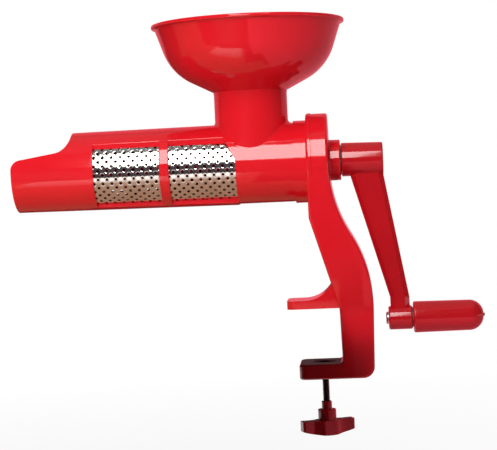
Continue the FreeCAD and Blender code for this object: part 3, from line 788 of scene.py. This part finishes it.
class MILL_OT_stage(bpy.types.Operator):
    """Set up the camera, the soft boxes, the pale floor and the cards that the mill reflects"""

    bl_idname = "mill.stage"
    bl_label = "Stage"

    def execute(self, context):
        scene = context.scene
        sizes = scene.mill_stage
        scene.view_settings.view_transform = "Standard"
        self.place_camera(scene, sizes)
        self.light_world(scene, sizes)
        self.lay_floor(sizes)
        self.lay_worktop()
        self.hang_cloths(sizes)
        self.hang_soft_box(
            "key_soft_box", sizes.key_place, sizes.key_aim, sizes.key_width, sizes.key_height,
            sizes.key_power,
        )
        fill = self.hang_soft_box(
            "fill_soft_box", sizes.fill_place, sizes.key_aim, sizes.fill_size, sizes.fill_size,
            sizes.fill_power,
        )
        fill.visible_glossy = False
        return {"FINISHED"}

    def place_camera(self, scene, sizes):
        nothing_selected()
        bpy.ops.object.camera_add(location=sizes.camera_place)
        camera = bpy.context.active_object
        camera.name = "camera"
        look = Vector(sizes.aim) - Vector(sizes.camera_place)
        turn = look.to_track_quat("-Z", "Y") @ Quaternion((0.0, 0.0, 1.0), sizes.roll)
        camera.rotation_euler = turn.to_euler()
        camera.data.lens = sizes.lens
        camera.data.sensor_width = sizes.sensor_width
        scene.camera = camera

    def hang_soft_box(self, name, place, aim, width, height, power):
        nothing_selected()
        bpy.ops.object.light_add(type="AREA", location=place)
        lamp = bpy.context.active_object
        lamp.name = name
        lamp.data.shape = "RECTANGLE"
        lamp.data.size = width
        lamp.data.size_y = height
        lamp.data.energy = power
        lamp.rotation_euler = (Vector(aim) - Vector(place)).to_track_quat("-Z", "Y").to_euler()
        return lamp

    def light_world(self, scene, sizes):
        """Soft light from all round, and plain white where it is seen."""
        world = bpy.data.worlds.new("studio")
        world.use_nodes = True
        scene.world = world
        nodes = Nodes(world.node_tree)
        seen = nodes.rays("Camera") + nodes.rays("Transmission")
        mirrored = nodes.rays("Glossy")
        towards = nodes.node("ShaderNodeTexCoord", {}, {}, "Generated")
        behind = nodes.node("ShaderNodeSeparateXYZ", {}, {0: towards}, "Y")
        above = nodes.node("ShaderNodeSeparateXYZ", {}, {0: towards}, "Z")
        sweep = nodes.ramp(0.5 + 0.5 * behind, ((0.80, sizes.room), (0.96, 1.0)))
        ceiling = nodes.ramp(above, ((0.74, 0.0), (0.86, sizes.sky)))
        back = nodes.node(
            "ShaderNodeBackground", {},
            {"Color": (1.0, 1.0, 1.0, 1.0),
             "Strength": seen + mirrored * (sweep + ceiling) + (1.0 - seen - mirrored) * sizes.ambient},
        )
        nodes.node("ShaderNodeOutputWorld", {}, {"Surface": back})

    def card(self, name, width, height, place, turn=LEVEL, camera_sees=False):
        """A flat stage card, X by Y before it is turned."""
        nothing_selected()
        bpy.ops.mesh.primitive_plane_add(size=1.0, location=place, rotation=turn)
        card = active_piece(name)
        card.scale = (width, height, 1.0)
        settle(card)
        card.visible_camera = camera_sees
        return card

    def lay(self, name, left, right, front, back, level, material):
        """Lays a hidden card flat between four edges."""
        place = ((left + right) / 2, (front + back) / 2, level)
        wear(self.card(name, right - left, back - front, place), material)

    def lay_floor(self, sizes):
        """Paper floor that is nearly white where it is seen, and fades to white far off."""
        side, behind = 30.0, 10.0
        floor = self.card("floor", side, side, (0.0, behind, sizes.floor_height), camera_sees=True)
        finish = Finish("pale_floor")
        cloud = finish.clouds(0.5, 3.0)
        colour = finish.mixed(cloud, (0.86, 0.86, 0.86, 1.0), (0.90, 0.90, 0.90, 1.0))
        paper = finish.shader({"Base Color": colour, "Roughness": 0.8})
        white = finish.node("ShaderNodeEmission", {}, {"Color": (1.0, 1.0, 1.0, 1.0), "Strength": 1.0})
        seen = finish.rays("Camera") + finish.rays("Glossy") + finish.rays("Transmission")
        far = finish.node("ShaderNodeVectorMath", {"operation": "LENGTH"}, {0: finish.place}, "Value")
        share = finish.ramp(far * 0.4, ((0.25, 0.88), (0.9, 1.0)))
        lit = finish.node("ShaderNodeMixShader", {}, {0: seen * share, 1: paper, 2: white})
        wear(floor, finish.shown(lit))

    def lay_worktop(self):
        """Wooden top that the clamp would hold and a white sheet on it, for shade and reflections."""
        left, edge, right = -2.0, -0.05, 0.0205
        front, end_front, back, far = -0.27, -0.1, 0.12, 2.0
        level = -0.8 * MM
        wood = self.wood()
        self.lay("worktop", left, edge, front, back, level, wood)
        self.lay("worktop_end", edge, right, end_front, back, level, wood)
        red = self.cloth("red_cloth", (0.32, 0.035, 0.035), (0.25, 0.03, 0.03))
        self.lay("red_cloth_laid", left, right, back, far, level, red)
        sheet_left, sheet_right, sheet_depth = -0.27, -0.07, 0.12
        self.lay(
            "white_sheet", sheet_left, sheet_right, front, front + sheet_depth, level + 1.0 * MM,
            self.paper(),
        )

    def wood(self):
        finish = Finish("worktop_wood")
        grain = finish.clouds(12.0 * MM, 4.0, (0.08, 1.0, 1.0))
        colour = finish.mixed(grain, (0.62, 0.37, 0.24, 1.0), (0.48, 0.27, 0.16, 1.0))
        return finish.surface({"Base Color": colour, "Roughness": 0.6})

    def paper(self):
        """White paper that glows towards the front and fades into the wood."""
        fade_from, fade_length = -0.125, 0.1
        finish = Finish("white_sheet")
        depth = finish.node("ShaderNodeSeparateXYZ", {}, {0: finish.place}, "Y")
        glow = finish.ramp((fade_from - depth) * (1.0 / fade_length), ((0.0, 0.0), (1.0, 1.0)))
        return finish.surface(
            {
                "Base Color": finish.mixed(glow, (0.55, 0.36, 0.25, 1.0), (0.85, 0.80, 0.78, 1.0)),
                "Emission Color": finish.mixed(glow, (0.0, 0.0, 0.0, 1.0), (0.85, 0.74, 0.72, 1.0)),
                "Emission Strength": 0.8,
                "Roughness": 0.6,
            }
        )

    def cloth(self, name, colour, other, glow=0.0):
        """Matt cloth with a fine nap of two colours."""
        finish = Finish(name)
        nap = finish.clouds(4.0 * MM, 3.0)
        weave = finish.mixed(nap, opaque(colour), opaque(other))
        return finish.surface(
            {"Base Color": weave, "Roughness": 0.9, "Emission Color": weave, "Emission Strength": glow}
        )

    def hang_cloths(self, sizes):
        """Cloths round the stage, which upright faces reflect and which shade the clamp."""
        low, high = sizes.floor_height, sizes.grey_cloth_top
        behind, front, breadth, reach = -1.4, -0.2, 5.0, 0.62
        grey = self.cloth("grey_cloth", (0.20, 0.18, 0.22), (0.27, 0.24, 0.29))
        middle = (0.0, behind, (low + high) / 2)
        wear(self.card("grey_cloth_upright", breadth, high - low, middle, UPRIGHT), grey)

        shade = self.cloth("dark_cloth", (0.05, 0.046, 0.05), (0.08, 0.074, 0.08))
        for name, width, height, place, turn in (
            ("dark_cloth_laid", breadth, front - behind, (0.0, (front + behind) / 2, low + 0.002), LEVEL),
            ("dark_cloth_edge", reach, 0.13, (-0.27, -0.12, -0.009), LEVEL),
            ("dark_cloth_under", reach, 1.10, (-0.2895, 0.45, -0.004), LEVEL),
            ("dark_cloth_apron", reach, 0.12, (-0.28, -0.09, -0.085), UPRIGHT),
        ):
            wear(self.card(name, width, height, place, turn), shade)

        warm = self.cloth("warm_cloth", (0.85, 0.17, 0.21), (0.78, 0.14, 0.18), 0.75)
        for name, width, height, place, turn in (
            ("warm_cloth_back", 8.0, 3.0, (0.0, 2.0, 1.1), UPRIGHT),
            ("warm_cloth_right", 3.0, 3.4, (1.53, 0.3, low + 0.01), LEVEL),
        ):
            cloth = self.card(name, width, height, place, turn)
            cloth.visible_shadow = cloth.visible_diffuse = cloth.visible_transmission = False
            wear(cloth, warm)


class MILL_PT_pieces(bpy.types.Panel):
    """Lists the steps that make the food mill"""

    bl_idname = "MILL_PT_pieces"
    bl_label = "Food mill"
    bl_space_type = "VIEW_3D"
    bl_region_type = "UI"
    bl_category = "Food mill"

    def draw(self, context):
        for step in STEPS:
            self.layout.operator(step.bl_idname)


GROUPS = {
    "mill_screen": ScreenSizes,
    "mill_thread": ThreadSizes,
    "mill_plastic": PlasticLook,
    "mill_steel": SteelLook,
    "mill_small_parts": SmallPartLook,
    "mill_stage": StageSizes,
}
STEPS = (MILL_OT_finishes, MILL_OT_screen, MILL_OT_clamp_thread, MILL_OT_stage)


def register():
    for name, group in GROUPS.items():
        bpy.utils.register_class(group)
        setattr(bpy.types.Scene, name, PointerProperty(type=group))
    for step in STEPS:
        bpy.utils.register_class(step)
    bpy.utils.register_class(MILL_PT_pieces)


def unregister():
    bpy.utils.unregister_class(MILL_PT_pieces)
    for step in reversed(STEPS):
        bpy.utils.unregister_class(step)
    for name, group in reversed(GROUPS.items()):
        delattr(bpy.types.Scene, name)
        bpy.utils.unregister_class(group)


def main():
    register()
    bpy.ops.mill.finishes()
    bpy.ops.mill.screen()
    bpy.ops.mill.clamp_thread()
    bpy.ops.mill.stage()


if __name__ == "__main__":
    main()
